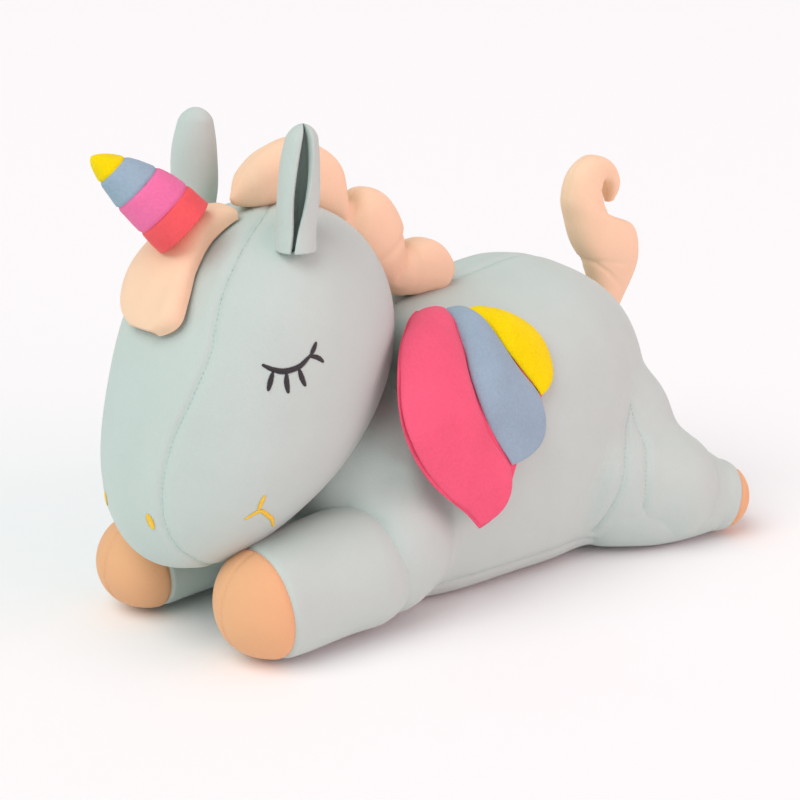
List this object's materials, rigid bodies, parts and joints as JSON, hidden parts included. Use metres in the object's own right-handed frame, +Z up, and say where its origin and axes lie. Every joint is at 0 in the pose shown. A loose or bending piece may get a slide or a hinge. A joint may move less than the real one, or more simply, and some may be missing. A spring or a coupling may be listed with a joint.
{
  "type": "plush unicorn",
  "caption": "Soft stuffed unicorn lying on its belly, with sewn velour skins, folded ears, banded horn, puffy mane, feathered side wings and curled tail.",
  "frame": {"origin": "centre of the bounding box, on the surface that the animal lies on", "axes": "+Y towards the tail, the nose towards -Y; +X towards the animal's left side; +Z up"},
  "size_m": [0.2776, 0.4727, 0.329],
  "materials": {
    "mint_velour": "short-pile velour, soft and matte",
    "mane_velour": "short-pile velour, soft and matte",
    "hoof_velour": "short-pile velour, soft and matte",
    "wing_pink_velour": "fine brushed velour",
    "wing_back_velour": "fine brushed velour",
    "blue_velour": "fine brushed velour",
    "yellow_velour": "fine brushed velour",
    "horn_pink_velour": "fine brushed velour",
    "coral_velour": "fine brushed velour",
    "eye_thread": "satin stitch, slight sheen",
    "gold_thread": "satin stitch, slight sheen",
    "filling": "loose polyester fibre"
  },
  "bodies": {
    "trunk": {"side_left": "mint_velour", "side_right": "mint_velour", "belly": "mint_velour", "trunk_filling": "filling"},
    "head": {"face_gusset": "mint_velour", "cheek_left": "mint_velour", "cheek_right": "mint_velour", "head_filling": "filling", "eye_left": "eye_thread", "eye_right": "eye_thread", "nostril_left": "gold_thread", "nostril_right": "gold_thread", "mouth_left": "gold_thread", "mouth_right": "gold_thread", "forelock_top": "mane_velour", "forelock_underside": "mane_velour", "forelock_filling": "filling", "horn_coral_band": "coral_velour", "horn_pink_band": "horn_pink_velour", "horn_blue_band": "blue_velour", "horn_yellow_tip": "yellow_velour", "horn_filling": "filling", "mane_left": "mane_velour", "mane_right": "mane_velour", "mane_filling": "filling"},
    "ear_left": {"ear_left_back": "mint_velour", "ear_left_lining": "mint_velour"},
    "wing_left": {"wing_left_pink": "wing_pink_velour", "wing_left_blue": "blue_velour", "wing_left_yellow": "yellow_velour", "wing_left_underside": "wing_back_velour", "wing_left_padding": "filling"},
    "foreleg_left": {"foreleg_left_sleeve": "mint_velour", "foreleg_left_hoof_outer": "hoof_velour", "foreleg_left_hoof_inner": "hoof_velour", "foreleg_left_filling": "filling"},
    "hindleg_left": {"hindleg_left_sleeve": "mint_velour", "hindleg_left_hoof_outer": "hoof_velour", "hindleg_left_hoof_inner": "hoof_velour", "hindleg_left_filling": "filling"},
    "ear_right": {"ear_right_back": "mint_velour", "ear_right_lining": "mint_velour"},
    "wing_right": {"wing_right_pink": "wing_pink_velour", "wing_right_blue": "blue_velour", "wing_right_yellow": "yellow_velour", "wing_right_underside": "wing_back_velour", "wing_right_padding": "filling"},
    "foreleg_right": {"foreleg_right_sleeve": "mint_velour", "foreleg_right_hoof_outer": "hoof_velour", "foreleg_right_hoof_inner": "hoof_velour", "foreleg_right_filling": "filling"},
    "hindleg_right": {"hindleg_right_sleeve": "mint_velour", "hindleg_right_hoof_outer": "hoof_velour", "hindleg_right_hoof_inner": "hoof_velour", "hindleg_right_filling": "filling"},
    "tail": {"tail_left": "mane_velour", "tail_right": "mane_velour", "tail_filling": "filling"}
  },
  "joints": [
    {"name": "head_nod", "type": "hinge", "parent": "trunk", "child": "head", "pos_m": [0, -0.037, 0.207], "axis": [-1, 0, 0], "range_deg": [0, 8], "stiffness_Nm_per_rad": 2},
    {"name": "ear_flop_left", "type": "hinge", "parent": "head", "child": "ear_left", "pos_m": [0.055, -0.142, 0.266], "axis": [1, 0, 0], "range_deg": [-20, 20], "stiffness_Nm_per_rad": 0.05},
    {"name": "wing_lift_left", "type": "hinge", "parent": "trunk", "child": "wing_left", "pos_m": [0.046, 0, 0.194], "axis": [0, -1, 0], "range_deg": [0, 55], "stiffness_Nm_per_rad": 0.15},
    {"name": "foreleg_splay_left", "type": "hinge", "parent": "trunk", "child": "foreleg_left", "pos_m": [0.061, -0.112, 0.041], "axis": [0, 0, 1], "range_deg": [0, 16], "stiffness_Nm_per_rad": 1},
    {"name": "hindleg_splay_left", "type": "hinge", "parent": "trunk", "child": "hindleg_left", "pos_m": [0.067, 0.13, 0.048], "axis": [0, 0, 1], "range_deg": [-14, 4], "stiffness_Nm_per_rad": 1},
    {"name": "ear_flop_right", "type": "hinge", "parent": "head", "child": "ear_right", "pos_m": [-0.055, -0.142, 0.266], "axis": [1, 0, 0], "range_deg": [-20, 20], "stiffness_Nm_per_rad": 0.05},
    {"name": "wing_lift_right", "type": "hinge", "parent": "trunk", "child": "wing_right", "pos_m": [-0.046, 0, 0.194], "axis": [0, 1, 0], "range_deg": [0, 55], "stiffness_Nm_per_rad": 0.15},
    {"name": "foreleg_splay_right", "type": "hinge", "parent": "trunk", "child": "foreleg_right", "pos_m": [-0.057, -0.118, 0.041], "axis": [0, 0, -1], "range_deg": [0, 16], "stiffness_Nm_per_rad": 1},
    {"name": "hindleg_splay_right", "type": "hinge", "parent": "trunk", "child": "hindleg_right", "pos_m": [-0.067, 0.13, 0.048], "axis": [0, 0, -1], "range_deg": [-14, 4], "stiffness_Nm_per_rad": 1},
    {"name": "tail_sway", "type": "hinge", "parent": "trunk", "child": "tail", "pos_m": [0, 0.204, 0.169], "axis": [0, 0.76, -0.65], "range_deg": [-25, 25], "stiffness_Nm_per_rad": 0.3}
  ]
}
